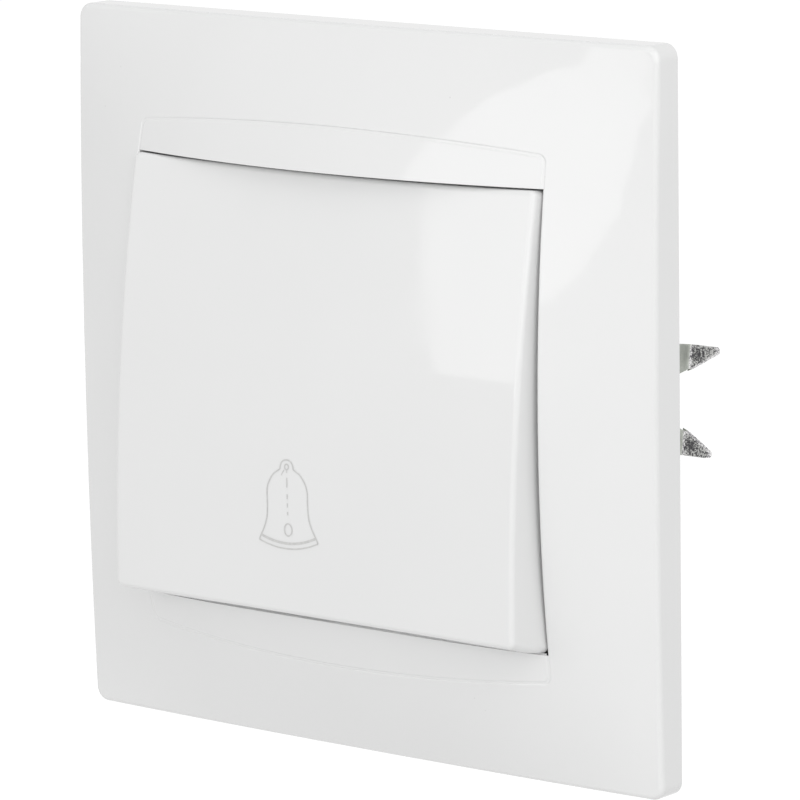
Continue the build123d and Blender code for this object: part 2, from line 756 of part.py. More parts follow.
# Brass strips, from the contact chamber through the floor to the terminal bays
for name, side, pad_depth, hole_position in (
    ("common_terminal", 1, common_pad_depth, blade_root),
    ("fixed_terminal", -1, fixed_pad_depth, contact_position),
):
    with BuildPart() as terminal:
        with BuildSketch(Plane.YZ):
            with BuildLine() as strip:
                pad_middle = pad_depth + strip_thickness / 2
                bay_middle_depth = bay_floor + strip_thickness / 2
                FilletPolyline(
                    (pad_middle, side * contact_pad_end),
                    (pad_middle, side * strip_riser),
                    (bay_middle_depth, side * strip_riser),
                    (bay_middle_depth, side * terminal_pad_end),
                    radius=strip_bend_radius,
                )
            trace(strip.edges(), line_width=strip_thickness)
        extrude(amount=strip_half_width, both=True)
        with BuildSketch(Plane.XZ.offset(-pad_depth)):
            with Locations((0, hole_position)):
                Circle(contact_shank_radius + contact_hole_clearance)
        extrude(amount=-strip_thickness, mode=Mode.SUBTRACT)
        with BuildSketch(Plane.XZ.offset(-bay_floor)):
            with Locations((0, side * terminal_position)):
                Circle(terminal_screw_radius + terminal_screw_clearance)
        extrude(amount=-strip_thickness, mode=Mode.SUBTRACT)
    finish(terminal, name)

# Moving contact
with BuildPart() as contact_blade:
    with BuildSketch(Plane.XZ.offset(-blade_back)):
        with BuildLine() as blade:
            Polyline(
                (blade_half_width, blade_top),
                (-blade_half_width, blade_top),
                (-blade_tip_half_width, blade_bottom),
                (blade_tip_half_width, blade_bottom),
                close=True,
            )
        make_face(blade.edges())
        with Locations((0, blade_root)):
            Circle(blade_root_hole, mode=Mode.SUBTRACT)
        with Locations((0, contact_position)):
            Circle(contact_shank_radius + contact_hole_clearance, mode=Mode.SUBTRACT)
    extrude(amount=blade_thickness)
finish(contact_blade, "contact_blade")

# Contact rivets and the rivet at the blade's root, each a head, a shank and a formed tail
rivet_head_front = -blade_depth + blade_slack
for name, position, head_start, head_towards_front, grip in (
    ("moving_contact_tip", contact_position, -blade_back, False, blade_thickness),
    ("fixed_contact_tip", contact_position, -fixed_pad_depth, True, strip_thickness),
    (
        "blade_rivet",
        blade_root,
        rivet_head_front,
        True,
        rivet_head_front + common_pad_depth + strip_thickness,
    ),
):
    direction = 1 if head_towards_front else -1
    with BuildPart() as contact_rivet:
        with BuildSketch(Plane.XZ.offset(head_start)):
            with Locations((0, position)):
                Circle(contact_head_radius)
        extrude(amount=direction * contact_head)
        with BuildSketch(Plane.XZ.offset(head_start)):
            with Locations((0, position)):
                Circle(contact_shank_radius)
        extrude(amount=-direction * grip)
        with BuildSketch(Plane.XZ.offset(head_start - direction * grip)):
            with Locations((0, position)):
                Circle(contact_tail_radius)
        extrude(amount=-direction * contact_tail)
        rim = contact_rivet.edges().filter_by(GeomType.CIRCLE).group_by(Axis.Y)
        fillet(rim[0] if head_towards_front else rim[-1], contact_head / 2)
    finish(contact_rivet, name)

# Wire clamps and screws in the terminal bays
with BuildPart() as terminal_clamps:
    with BuildSketch(Plane.XZ.offset(-clamp_depth)):
        with Locations(*terminal_points):
            RectangleRounded(clamp_size, clamp_size, clamp_corner)
            Circle(terminal_screw_radius + 2 * terminal_screw_clearance, mode=Mode.SUBTRACT)
    extrude(amount=-clamp_thickness)
finish(terminal_clamps, "terminal_clamps")

with BuildPart() as terminal_screws:
    with BuildSketch(Plane.XZ.offset(-screw_seat)):
        with Locations(*terminal_points):
            Circle(terminal_screw_head_radius)
    extrude(amount=-terminal_screw_head)
    fillet(
        terminal_screws.edges().filter_by(GeomType.CIRCLE).group_by(Axis.Y)[-1], screw_head_fillet
    )
    with BuildSketch(Plane.XZ.offset(-screw_seat)):
        with Locations(*terminal_points):
            Circle(terminal_screw_radius)
    extrude(amount=terminal_screw_length)
    with BuildSketch(Plane.XZ.offset(-(screw_seat + terminal_screw_head))):
        with Locations(*terminal_points):
            Rectangle(2 * terminal_screw_head_radius, screw_slot_width, rotation=30)
    extrude(amount=screw_slot_depth, mode=Mode.SUBTRACT)
finish(terminal_screws, "terminal_screws")

# Claws: an arm beside the housing, two teeth bent outwards and a threaded foot bent inwards
for name, side in (("left_claw", -1), ("right_claw", 1)):
    along_screw, across_claw = claw_planes(side)
    behind_teeth = along_screw.offset(-(claw_depth + claw_thickness))
    arm_position = side * claw_arm_offset
    with BuildPart() as claw:
        with BuildSketch(across_claw):
            with BuildLine() as arm:
                FilletPolyline(
                    (arm_position, claw_front),
                    (arm_position, claw_depth),
                    (side * claw_tooth_reach, claw_depth),
                    radius=claw_bend_radius,
                )
            trace(arm.edges(), line_width=claw_thickness)
        extrude(amount=claw_half_width, both=True)
        # All between the pointed teeth is cut away, and the gap that the foot was bent out of
        tooth_root = side * (claw_arm_offset - claw_thickness / 2)
        tooth_tip = side * claw_tooth_reach
        slit_edge = claw_foot_half_width + claw_slit
        with BuildSketch(behind_teeth):
            with Locations(((tooth_root + tooth_tip) / 2, 0)):
                Rectangle(abs(tooth_tip - tooth_root), 2 * claw_half_width)
            for edge in (-1, 1):
                with BuildLine() as tooth:
                    FilletPolyline(
                        (tooth_root, edge * claw_half_width),
                        (tooth_tip, edge * claw_half_width),
                        (tooth_root, edge * slit_edge),
                        radius=claw_tip_radius,
                    )
                    Line((tooth_root, edge * slit_edge), (tooth_root, edge * claw_half_width))
                make_face(tooth.edges(), mode=Mode.SUBTRACT)
        extrude(amount=2 * claw_thickness, mode=Mode.SUBTRACT)
        notch_edge = slit_edge + claw_slit
        with BuildSketch(Plane(along_screw.origin, -along_screw.z_dir, (1, 0, 0)).offset(arm_position)):
            with BuildLine() as notch:
                Polyline(
                    (claw_slit_start, -slit_edge),
                    (claw_depth - claw_slit_flare, -slit_edge),
                    (claw_depth, -notch_edge),
                    (claw_depth, notch_edge),
                    (claw_depth - claw_slit_flare, slit_edge),
                    (claw_slit_start, slit_edge),
                    close=True,
                )
            make_face(notch.edges())
        extrude(amount=2 * claw_thickness, both=True, mode=Mode.SUBTRACT)
        with BuildSketch(across_claw):
            with BuildLine() as foot:
                FilletPolyline(
                    (arm_position, claw_slit_start - claw_thickness),
                    (arm_position, claw_foot_depth),
                    (-side * claw_foot_reach, claw_foot_depth),
                    radius=claw_bend_radius,
                )
            trace(foot.edges(), line_width=claw_thickness)
        extrude(amount=claw_foot_half_width, both=True)
        with BuildSketch(along_screw.offset(-claw_foot_depth)):
            Circle(claw_screw_radius + claw_thread_clearance)
        extrude(amount=claw_thickness, both=True, mode=Mode.SUBTRACT)
    finish(claw, name)

for name, side in (("left_claw_screw", -1), ("right_claw_screw", 1)):
    head_seat = claw_planes(side)[0].offset(claw_head_seat)
    with BuildPart() as claw_screw:
        with BuildSketch(head_seat):
            Circle(claw_screw_head_radius)
        extrude(amount=claw_screw_head)
        fillet(
            claw_screw.edges().filter_by(GeomType.CIRCLE).group_by(Axis.Y)[0], screw_head_fillet
        )
        with BuildSketch(head_seat):
            Circle(claw_screw_radius)
        extrude(amount=-(claw_head_seat + claw_screw_depth))
        chamfer(
            claw_screw.edges().filter_by(GeomType.CIRCLE).group_by(Axis.Y)[-1],
            claw_screw_radius / 3,
        )
        with BuildSketch(head_seat.offset(claw_screw_head)):
            Rectangle(2 * claw_screw_head_radius, screw_slot_width)
        extrude(amount=-screw_slot_depth, mode=Mode.SUBTRACT)
    finish(claw_screw, name)
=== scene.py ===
import math

import bmesh
import bpy
from mathutils import Matrix, Vector
from mathutils.interpolate import poly_3d_calc


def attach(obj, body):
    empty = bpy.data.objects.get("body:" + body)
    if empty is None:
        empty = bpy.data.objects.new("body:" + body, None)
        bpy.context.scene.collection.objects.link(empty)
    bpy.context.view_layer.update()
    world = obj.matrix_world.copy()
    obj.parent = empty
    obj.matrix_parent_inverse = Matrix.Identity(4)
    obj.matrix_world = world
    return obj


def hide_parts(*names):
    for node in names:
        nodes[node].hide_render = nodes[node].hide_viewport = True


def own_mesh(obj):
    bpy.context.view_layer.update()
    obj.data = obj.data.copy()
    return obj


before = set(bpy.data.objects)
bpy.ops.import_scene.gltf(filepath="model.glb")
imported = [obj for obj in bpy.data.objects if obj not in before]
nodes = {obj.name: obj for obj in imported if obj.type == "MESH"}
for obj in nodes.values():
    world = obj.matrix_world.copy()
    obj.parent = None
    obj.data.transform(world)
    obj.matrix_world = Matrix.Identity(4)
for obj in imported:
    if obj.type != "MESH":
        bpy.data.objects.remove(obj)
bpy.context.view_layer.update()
scene = bpy.context.scene
scene.view_settings.view_transform = "Standard"
MM = 0.001

# Sizes of the solids that the added pieces follow, in millimetres and degrees
COVER_HALF = 40.5
COVER_EDGE_HEIGHT = 3.5
COVER_EDGE_ARCH = 0.6
PILLOW_RISE = 10.7
WINDOW_HALF_WIDTH = 28.75
WINDOW_SIDE_BOW = 0.65
WINDOW_HALF_HEIGHT = 29.8
WINDOW_END_BOW = 1.35
WINDOW_CORNER_RADIUS = 0.9
BEZEL_SEAM = 0.02
PIVOT_FRONT = 4.0
ROCKER_REST_TILT = 5.6
ROCKER_HALF_WIDTH = 28.1
ROCKER_BOTTOM_LENGTH = 24.35
ROCKER_EDGE_RISE = 7.05
ROCKER_CROWN = 1.25
ROCKER_END_GAP = 0.2
BRIDGE_THICKNESS = 1.0
CLAW_DROOP = 8.3
CLAW_SCREW_OFFSET_X = 21.8
CLAW_SCREW_OFFSET_Z = 1.0
CLAW_SCREW_RADIUS = 1.5
CLAW_SCREW_HEAD_GAP = 1.2
CLAW_SCREW_DEPTH = 23.5
SPRING_OFFSET_X = 9.0
SPRING_OFFSET_Z = -11.0
SPRING_RADIUS = 2.4
SPRING_WIRE_RADIUS = 0.25
SPRING_TURNS = 6.0

# Camera at the photograph's viewing angle, in degrees and metres
CAMERA_AZIMUTH = 38.887
CAMERA_ELEVATION = 10.512
CAMERA_ROLL = -0.882
CAMERA_DISTANCE = 0.600581
CAMERA_SHIFT_RIGHT = 0.00198
CAMERA_SHIFT_UP = -0.001552
CAMERA_LENS_MM = 244.92
CAMERA_SENSOR_MM = 36.0


def direction(azimuth, elevation):
    """Unit vector from the object to a place at these angles, counted from straight in front."""
    a, e = math.radians(azimuth), math.radians(elevation)
    return Vector((math.sin(a) * math.cos(e), -math.cos(a) * math.cos(e), math.sin(e)))


def make_camera():
    azimuth, roll = math.radians(CAMERA_AZIMUTH), math.radians(CAMERA_ROLL)
    back = direction(CAMERA_AZIMUTH, CAMERA_ELEVATION)
    level = Vector((math.cos(azimuth), math.sin(azimuth), 0.0))
    upright = level.cross(-back)
    right = math.cos(roll) * level + math.sin(roll) * upright
    up = -math.sin(roll) * level + math.cos(roll) * upright
    data = bpy.data.cameras.new("photo_camera")
    data.sensor_width = CAMERA_SENSOR_MM
    data.lens = CAMERA_LENS_MM
    camera = bpy.data.objects.new("photo_camera", data)
    scene.collection.objects.link(camera)
    turn = Matrix((right, up, back)).transposed().to_4x4()
    place = back * CAMERA_DISTANCE + right * CAMERA_SHIFT_RIGHT + up * CAMERA_SHIFT_UP
    camera.matrix_world = Matrix.Translation(place) @ turn
    scene.camera = camera


make_camera()


# Procedural materials, whose scales count per metre
class Shader:
    """A new material and short ways to add nodes to it."""

    def __init__(self, name):
        self.material = bpy.data.materials.new(name)
        self.material.use_nodes = True
        self.tree = self.material.node_tree
        self.nodes = self.tree.nodes
        self.bsdf = self.nodes["Principled BSDF"]
        self.place = self.nodes.new("ShaderNodeTexCoord").outputs["Object"]

    def link(self, source, target):
        self.tree.links.new(source, target)

    def fill(self, socket, value):
        """Sets a socket to a number, or links an output to it."""
        if isinstance(value, (int, float)):
            socket.default_value = value
        else:
            self.link(value, socket)

    def noise(self, scale, detail=3.0, roughness=0.5, vector=None):
        node = self.nodes.new("ShaderNodeTexNoise")
        node.inputs["Scale"].default_value = scale
        node.inputs["Detail"].default_value = detail
        node.inputs["Roughness"].default_value = roughness
        self.link(vector or self.place, node.inputs["Vector"])
        return node.outputs["Fac"]

    def cells(self, scale, output):
        node = self.nodes.new("ShaderNodeTexVoronoi")
        node.inputs["Scale"].default_value = scale
        self.link(self.place, node.inputs["Vector"])
        return node.outputs[output]

    def stretched(self, scale):
        node = self.nodes.new("ShaderNodeMapping")
        node.inputs["Scale"].default_value = scale
        self.link(self.place, node.inputs["Vector"])
        return node.outputs["Vector"]

    def two_tones(self, source, deep, pale, start=0.3, end=0.7):
        """Colour that goes from deep to pale as source goes from start to end."""
        node = self.nodes.new("ShaderNodeValToRGB")
        for element, position, colour in zip(node.color_ramp.elements, (start, end), (deep, pale)):
            element.position = position
            element.color = (*colour, 1.0)
        self.link(source, node.inputs["Fac"])
        return node.outputs["Color"]

    def spread(self, source, low, high, start=0.3, end=0.7):
        """Value that goes from low to high as source goes from start to end."""
        node = self.nodes.new("ShaderNodeMapRange")
        node.inputs["From Min"].default_value = start
        node.inputs["From Max"].default_value = end
        node.inputs["To Min"].default_value = low
        node.inputs["To Max"].default_value = high
        self.link(source, node.inputs["Value"])
        return node.outputs["Result"]

    def calculate(self, operation, first, second):
        node = self.nodes.new("ShaderNodeMath")
        node.operation = operation
        self.fill(node.inputs[0], first)
        self.fill(node.inputs[1], second)
        return node.outputs["Value"]

    def mix(self, factor, first, second):
        """Colour between first and second, either of which may be a fixed colour."""
        node = self.nodes.new("ShaderNodeMix")
        node.data_type = "RGBA"
        self.link(factor, node.inputs["Factor"])
        for name, value in (("A", first), ("B", second)):
            socket = [s for s in node.inputs if s.name == name and s.type == "RGBA"][0]
            if isinstance(value, tuple):
                socket.default_value = (*value, 1.0)
            else:
                self.link(value, socket)
        return [s for s in node.outputs if s.type == "RGBA"][0]

    def bump(self, height, strength, distance):
        node = self.nodes.new("ShaderNodeBump")
        node.inputs["Strength"].default_value = strength
        node.inputs["Distance"].default_value = distance
        self.link(height, node.inputs["Height"])
        self.link(node.outputs["Normal"], self.bsdf.inputs["Normal"])

    def set(self, **values):
        """Fills the surface's sockets, named with _ for each space."""
        for name, value in values.items():
            self.fill(self.bsdf.inputs[name.replace("_", " ")], value)


PLASTIC_IOR = 1.5


def gloss_plastic(name, pale, deep, roughness, speck_shift):
    """Gloss plastic with faint mottling and a few grey specks of dust."""
    s = Shader(name)
    body = s.two_tones(s.noise(scale=55.0, detail=2.0), deep, pale)
    specks = s.spread(s.cells(420.0 + speck_shift, "Distance"), 1.0, 0.0, start=0.02, end=0.05)
    few = s.spread(s.noise(scale=130.0 + speck_shift, detail=0.0), 0.0, 0.4, start=0.66, end=0.7)
    dust = s.calculate("MULTIPLY", specks, few)
    s.set(
        Base_Color=s.mix(dust, body, (0.45, 0.45, 0.44)),
        Roughness=s.spread(s.noise(scale=240.0, detail=4.0), *roughness),
        IOR=PLASTIC_IOR,
    )
    s.bump(s.noise(scale=1500.0, detail=2.0), strength=0.02, distance=0.02 * MM)
    return s.material


def matt_plastic(name, pale, deep, roughness):
    """Moulded plastic with a fine grain."""
    s = Shader(name)
    s.set(
        Base_Color=s.two_tones(s.noise(scale=90.0, detail=4.0), deep, pale),
        Roughness=s.spread(s.noise(scale=600.0), *roughness),
        IOR=PLASTIC_IOR,
    )
    s.bump(s.noise(scale=4500.0), strength=0.25, distance=0.03 * MM)
    return s.material


def plated_steel(name, pale, deep, grain):
    """Zinc-plated steel with spangle and dark flecks."""
    s = Shader(name)
    spangle = s.two_tones(s.cells(700.0, "Color"), deep, pale, start=0.0, end=1.0)
    flecks = s.spread(s.noise(scale=grain, detail=4.0, roughness=0.7), 0.0, 0.55, start=0.52, end=0.66)
    fleck_colour = tuple(0.4 * c for c in deep)
    s.set(
        Base_Color=s.mix(flecks, spangle, fleck_colour),
        Metallic=1.0,
        Roughness=s.spread(s.noise(scale=900.0, detail=4.0), 0.28, 0.46),
    )
    s.bump(s.noise(scale=grain, detail=4.0), strength=0.3, distance=0.03 * MM)
    return s.material


TOOTH_MIDDLES = ((26.7, 23.0, 2.75), (26.6, 21.5, -7.15))
TEETH_START = 25.6
TEETH_FULL = 25.75


def claw_steel(name):
    """Zinc, grey on the arms and near white on the teeth, where the paler tone is partly the zinc's own
    colour and partly painted light; coarse dark grains on the teeth, most of them in the middle of each
    tooth.
    """
    s = Shader(name)
    split = s.nodes.new("ShaderNodeSeparateXYZ")
    s.link(s.place, split.inputs["Vector"])
    side = s.calculate("ABSOLUTE", split.outputs["X"], 0.0)
    mirrored_place = s.nodes.new("ShaderNodeCombineXYZ")
    s.link(side, mirrored_place.inputs["X"])
    s.link(split.outputs["Y"], mirrored_place.inputs["Y"])
    s.link(split.outputs["Z"], mirrored_place.inputs["Z"])
    near_middles = []
    for middle in TOOTH_MIDDLES:
        away = s.nodes.new("ShaderNodeVectorMath")
        away.operation = "DISTANCE"
        away.inputs[1].default_value = [MM * v for v in middle]
        s.link(mirrored_place.outputs["Vector"], away.inputs[0])
        near_middles.append(s.spread(away.outputs["Value"], 0.14, 0.0, start=0.2 * MM, end=1.3 * MM))
    grains = s.noise(scale=5200.0, detail=2.0, roughness=0.6)
    grains = s.calculate("ADD", grains, s.calculate("ADD", *near_middles))
    on_teeth = s.spread(side, 0.0, 1.0, start=TEETH_START * MM, end=TEETH_FULL * MM)
    dark = s.calculate("MULTIPLY", s.spread(grains, 0.0, 0.94, start=0.475, end=0.585), on_teeth)
    # Arms and teeth are one zinc in two tones: the teeth's near white is partly painted light, raised to
    # stand in for the brighter light the teeth catch.
    arm = s.two_tones(s.noise(scale=700.0), (0.40, 0.42, 0.38), (0.48, 0.50, 0.46))
    tooth = s.two_tones(s.noise(scale=2600.0), (0.84, 0.83, 0.83), (0.93, 0.92, 0.92))
    s.set(
        Base_Color=s.mix(dark, s.mix(on_teeth, arm, tooth), (0.10, 0.095, 0.11)),
        Metallic=0.65,
        Roughness=s.spread(s.noise(scale=2400.0), 0.55, 0.7),
    )
    s.bump(grains, strength=0.35, distance=0.06 * MM)
    return s.material


def strip_metal(name, pale, deep, roughness, stretch):
    """Drawn metal, with marks that run along its strip and faint stains."""
    s = Shader(name)
    drawn = s.noise(scale=1500.0, detail=4.0, roughness=0.6, vector=s.stretched(stretch))
    stain = s.spread(s.noise(scale=220.0), 0.75, 1.25)
    s.set(
        Base_Color=s.two_tones(s.calculate("MULTIPLY", drawn, stain), deep, pale),
        Metallic=1.0,
        Roughness=s.spread(drawn, *roughness),
    )
    s.bump(drawn, strength=0.15, distance=0.02 * MM)
    return s.material


def printing_ink(name):
    s = Shader(name)
    cloud = s.noise(scale=2600.0, roughness=0.6)
    s.set(
        Base_Color=s.two_tones(cloud, (0.56, 0.56, 0.55), (0.64, 0.64, 0.63)),
        Roughness=s.spread(s.noise(scale=1500.0), 0.3, 0.45),
        IOR=PLASTIC_IOR,
    )
    return s.material


white_cover = gloss_plastic(
    "white_cover", pale=(0.806, 0.808, 0.806), deep=(0.794, 0.796, 0.794),
    roughness=(0.04, 0.08), speck_shift=0.0,
)
white_rocker = gloss_plastic(
    "white_rocker", pale=(0.808, 0.81, 0.808), deep=(0.797, 0.799, 0.797),
    roughness=(0.02, 0.04), speck_shift=17.0,
)
housing_plastic = matt_plastic(
    "mechanism_plastic", pale=(0.66, 0.66, 0.63), deep=(0.60, 0.60, 0.57), roughness=(0.42, 0.6)
)
cradle_plastic = matt_plastic(
    "cradle_plastic", pale=(0.50, 0.51, 0.52), deep=(0.45, 0.46, 0.47), roughness=(0.35, 0.5)
)
zinc_steel = plated_steel("zinc_steel", pale=(0.66, 0.67, 0.67), deep=(0.54, 0.55, 0.55), grain=3200.0)
claw_zinc = claw_steel("claw_zinc")
spring_steel = strip_metal(
    "spring_steel", pale=(0.55, 0.55, 0.55), deep=(0.42, 0.42, 0.43),
    roughness=(0.22, 0.36), stretch=(1.0, 3.0, 1.0),
)
brass = strip_metal(
    "brass_strip", pale=(0.82, 0.61, 0.30), deep=(0.73, 0.52, 0.24),
    roughness=(0.22, 0.40), stretch=(1.0, 1.0, 6.0),
)
silver = strip_metal(
    "contact_silver", pale=(0.86, 0.85, 0.82), deep=(0.74, 0.73, 0.70),
    roughness=(0.18, 0.32), stretch=(1.0, 1.0, 1.0),
)
bronze = strip_metal(
    "blade_bronze", pale=(0.77, 0.51, 0.33), deep=(0.69, 0.44, 0.28),
    roughness=(0.22, 0.38), stretch=(1.0, 1.0, 6.0),
)
grey_ink = printing_ink("grey_ink")

finishes = {
    "cover_frame": white_cover,
    "bezel": white_cover,
    "rocker": white_rocker,
    "rocker_cradle": cradle_plastic,
    "support_bridge": zinc_steel,
    "mechanism_lid": housing_plastic,
    "lid_screws": zinc_steel,
    "left_return_spring": spring_steel,
    "right_return_spring": spring_steel,
    "mechanism_housing": housing_plastic,
    "bridge_rivets": zinc_steel,
    "common_terminal": brass,
    "fixed_terminal": brass,
    "contact_blade": bronze,
    "moving_contact_tip": silver,
    "fixed_contact_tip": silver,
    "blade_rivet": brass,
    "terminal_clamps": zinc_steel,
    "terminal_screws": brass,
    "left_claw": claw_zinc,
    "right_claw": claw_zinc,
    "left_claw_screw": zinc_steel,
    "right_claw_screw": zinc_steel,
}
for name, node in nodes.items():
    node.data.materials.clear()
    node.data.materials.append(finishes[name])


# Helpers for added pieces
def mesh_data(name, mesh):
    """Mesh data with the shape of a bmesh, which is freed."""
    data = bpy.data.meshes.new(name)
    mesh.to_mesh(data)
    mesh.free()
    return data


def add_object(name, data, material):
    data.materials.append(material)
    piece = bpy.data.objects.new(name, data)
    scene.collection.objects.link(piece)
    return piece


def skin(mesh, rows, closed):
    """Smooth faces between neighbouring rows of vertices, each of which may be a closed ring."""
    for first, second in zip(rows, rows[1:]):
        for j in range(len(first) if closed else len(first) - 1):
            k = (j + 1) % len(first)
            mesh.faces.new((first[j], second[j], second[k], first[k])).smooth = True


def on_circle(turn):
    """Point of the unit circle after this share of a turn."""
    return math.cos(2 * math.pi * turn), math.sin(2 * math.pi * turn)


# Rocker's face at rest: a cylinder about a level axis, tilted about the pivot
FACE_TILT = math.radians(ROCKER_REST_TILT)
FACE_UP = Vector((0.0, math.sin(FACE_TILT), math.cos(FACE_TILT)))
FACE_OUT = Vector((0.0, -math.cos(FACE_TILT), math.sin(FACE_TILT)))
FACE_PIVOT = Vector((0.0, -PIVOT_FRONT, 0.0))
FACE_RADIUS = (ROCKER_BOTTOM_LENGTH ** 2 + ROCKER_CROWN ** 2) / (2 * ROCKER_CROWN)
FACE_RISE = ROCKER_EDGE_RISE + ROCKER_CROWN

# Bell print on the rocker's face, drawn in millimetres from the middle of the bell's rim
PRINT_HEIGHT = 0.03
PRINT_FOOT = (-2.65, -17.15)
PRINT_TURN = math.radians(3.0)
PRINT_LINE = 0.155
PRINT_RIM_LINE = 0.28
PRINT_DASH_LINE = 0.9 * PRINT_LINE
PRINT_TICK_LINE = 0.8 * PRINT_LINE


def on_face(across, along):
    """Place of a point of the print on the rocker's face, in metres."""
    cos, sin = math.cos(PRINT_TURN), math.sin(PRINT_TURN)
    u = PRINT_FOOT[0] + across * cos - along * sin
    v = PRINT_FOOT[1] + across * sin + along * cos
    drop = FACE_RADIUS - math.sqrt(FACE_RADIUS ** 2 - v ** 2)
    normal = (FACE_UP * v + FACE_OUT * (FACE_RADIUS - drop)).normalized()
    point = FACE_PIVOT + Vector((u, 0.0, 0.0)) + FACE_UP * v + FACE_OUT * (FACE_RISE - drop)
    return (point + normal * PRINT_HEIGHT) * MM


def curve_through(points, steps=8):
    """Smooth curve through all the points."""
    ends = [points[0], *points, points[-1]]
    line = []
    for a, b, c, d in zip(ends, ends[1:], ends[2:], ends[3:]):
        for k in range(steps):
            t = k / steps
            line.append(tuple(
                0.5 * (2 * q + (r - p) * t + (2 * p - 5 * q + 4 * r - w) * t * t
                       + (3 * q - p - 3 * r + w) * t ** 3)
                for p, q, r, w in zip(a, b, c, d)
            ))
    return [*line, points[-1]]


def oval(middle, half_across, half_along, count):
    turns = [on_circle(k / count) for k in range(count)]
    return [(half_across * cos, middle + half_along * sin) for cos, sin in turns]


def bow(end, end_height, middle_height, count=32):
    shares = [k / count for k in range(-count, count + 1)]
    return [(end * t, middle_height + (end_height - middle_height) * t ** 2) for t in shares]


def mirrored(points):
    return [(-x, y) for x, y in points]


def stroke(mesh, points, width, closed=False):
    """Flat line of this width on the rocker's face."""
    count = len(points)
    edges = []
    for i, (x, y) in enumerate(points):
        before = points[i - 1] if i or closed else points[i]
        after = points[(i + 1) % count] if i < count - 1 or closed else points[i]
        way = Vector((after[0] - before[0], after[1] - before[1])).normalized() * (width / 2)
        edges.append([
            mesh.verts.new(on_face(x - way.y, y + way.x)),
            mesh.verts.new(on_face(x + way.y, y - way.x)),
        ])
    pairs = zip(edges, edges[1:] + edges[:1]) if closed else zip(edges, edges[1:])
    for (a, b), (c, d) in pairs:
        mesh.faces.new((b, d, c, a))


def make_bell():
    side = curve_through([
        (4.17, 0.78), (4.06, 1.05), (3.85, 1.4), (3.4, 2.2), (3.05, 3.1), (2.9, 3.95), (2.86, 5.2),
        (2.85, 6.35), (2.55, 7.25), (1.95, 8.08), (1.4, 8.46), (0.97, 8.7),
    ])
    half_loop = curve_through([(0.95, 8.7), (0.9, 8.98), (0.78, 9.35), (0.45, 9.66), (0.0, 9.76)])
    loop = half_loop + mirrored(half_loop)[-2::-1]
    foot = bow(end=4.17, end_height=0.78, middle_height=-0.05)
    rim = bow(end=3.85, end_height=1.32, middle_height=0.54)
    clapper = oval(middle=2.05, half_across=0.53, half_along=0.67, count=40)
    eye = oval(middle=8.98, half_across=0.28, half_along=0.30, count=24)
    dashes = ((8.33, 8.76), (6.72, 7.8), (5.45, 5.98), (4.52, 4.98), (3.67, 4.05))
    tick = [(-0.35, 8.65), (-0.78, 8.03)]
    mesh = bmesh.new()
    for line in (side, mirrored(side), loop, foot):
        stroke(mesh, line, PRINT_LINE)
    stroke(mesh, rim, PRINT_RIM_LINE)
    for line in (clapper, eye):
        stroke(mesh, line, PRINT_LINE, closed=True)
    for low, high in dashes:
        stroke(mesh, [(0.0, low), (0.0, high)], PRINT_DASH_LINE)
    stroke(mesh, tick, PRINT_TICK_LINE)
    bmesh.ops.recalc_face_normals(mesh, faces=mesh.faces)
    piece = add_object("bell_print", mesh_data("bell_print", mesh), grey_ink)
    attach(piece, "rocker")


make_bell()


# Rocker with a slightly hollowed top end, which shows a slot under the upper strip
def cut_across(mesh, half_width, cuts):
    """Cuts all faces by evenly spaced upright planes, so that they can follow a curve across."""
    for k in range(-cuts + 1, cuts):
        bmesh.ops.bisect_plane(
            mesh, geom=[*mesh.verts, *mesh.edges, *mesh.faces], dist=1e-7,
            plane_co=(half_width * k / cuts * MM, 0.0, 0.0), plane_no=(1.0, 0.0, 0.0),
        )


def kept_normals(data, source, origin):
    """The source's corner normals at the corners of its cut faces; origin names each face's source."""
    corner_normals = [corner.vector.copy() for corner in source.corner_normals]
    normals = [None] * len(data.loops)
    for polygon in data.polygons:
        parent = source.polygons[origin[polygon.index].value]
        corners = [source.vertices[v].co for v in parent.vertices]
        for loop in polygon.loop_indices:
            shares = poly_3d_calc(corners, data.vertices[data.loops[loop].vertex_index].co)
            normal = Vector((0.0, 0.0, 0.0))
            for share, i in zip(shares, parent.loop_indices):
                normal += corner_normals[i] * share
            normals[loop] = normal.normalized()
    return normals


def make_plate():
    hollow, forward, end_wall, cuts = 0.47, 0.1, 23.0, 14
    source = nodes["rocker"].data
    mesh = bmesh.new()
    mesh.from_mesh(source)
    origin = mesh.faces.layers.int.new("origin")
    for i, face in enumerate(mesh.faces):
        face[origin] = i
    cut_across(mesh, ROCKER_HALF_WIDTH, cuts)
    data = mesh_data("rocker_plate", mesh)
    normals = kept_normals(data, source, data.attributes["origin"].data)
    for vertex in data.vertices:
        if (vertex.co / MM - FACE_PIVOT).dot(FACE_UP) > end_wall:
            shorter = hollow * max(0.0, 1.0 - (vertex.co.x / MM / ROCKER_HALF_WIDTH) ** 2)
            vertex.co += (FACE_OUT * forward - FACE_UP) * shorter * MM
    data.attributes.remove(data.attributes["origin"])
    data.update()
    data.normals_split_custom_set(normals)
    piece = add_object("rocker_plate", data, white_rocker)
    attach(piece, "rocker")
    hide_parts("rocker")


make_plate()

# Tight seams where the bezel's strips meet the window's edge in the cover
SEAM_DEPTH = 0.06
SEAM_HALF_WIDTH = 0.16
UPPER_SEAM_START = 25.1
LOWER_SEAM_START = 25.3


def pillow_height(x, z):
    """How far the cover's face stands in front of the wall."""
    across, along = 1 - (x / COVER_HALF) ** 2, 1 - (z / COVER_HALF) ** 2
    return COVER_EDGE_HEIGHT + COVER_EDGE_ARCH * (across + along) + PILLOW_RISE * across * along


